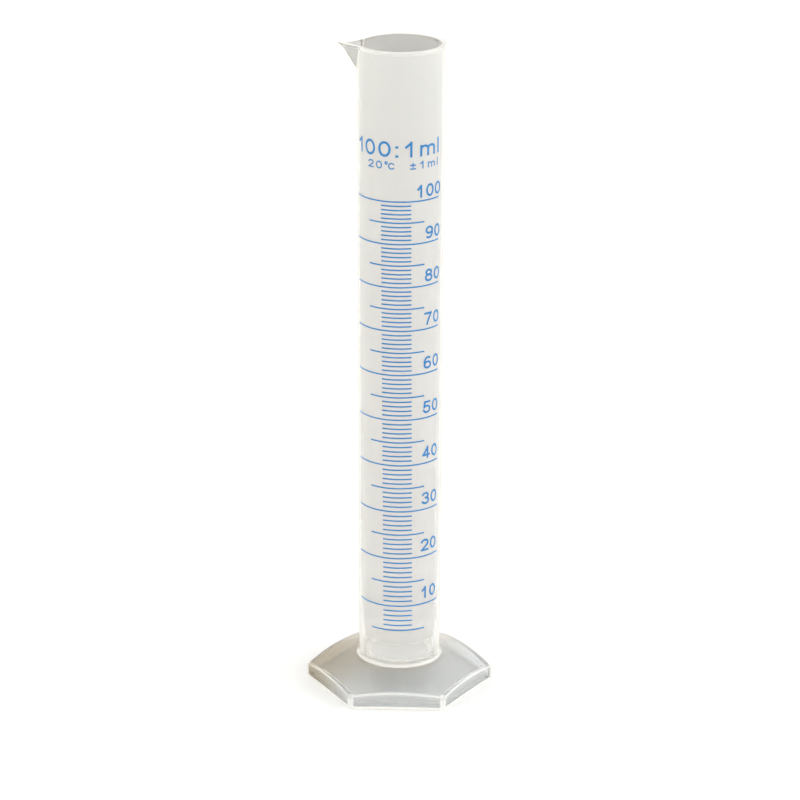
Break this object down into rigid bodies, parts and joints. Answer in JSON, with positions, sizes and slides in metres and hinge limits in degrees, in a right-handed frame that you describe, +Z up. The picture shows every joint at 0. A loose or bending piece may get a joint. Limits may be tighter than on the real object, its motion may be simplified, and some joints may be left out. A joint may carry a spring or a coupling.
{
  "type": "graduated cylinder",
  "caption": "Tall narrow measuring cylinder in translucent plastic, with a V-shaped pouring spout at its rim and a hollow hexagonal foot.",
  "frame": {"origin": "centre of the foot's underside, on the surface that the cylinder stands on", "axes": "+Z up along the tube's axis; one flat side of the foot faces -Y, two of its corners lie on the X axis, and the spout points to -X"},
  "size_m": [0.0684, 0.0598, 0.243],
  "materials": {
    "tube_plastic": "milky translucent polypropylene, satin",
    "foot_plastic": "clearer translucent polypropylene, glossy",
    "scale_ink": "screen-printed blue ink"
  },
  "bodies": {
    "root": {"measuring_tube": "tube_plastic", "hexagonal_foot": "foot_plastic"}
  },
  "joints": []
}
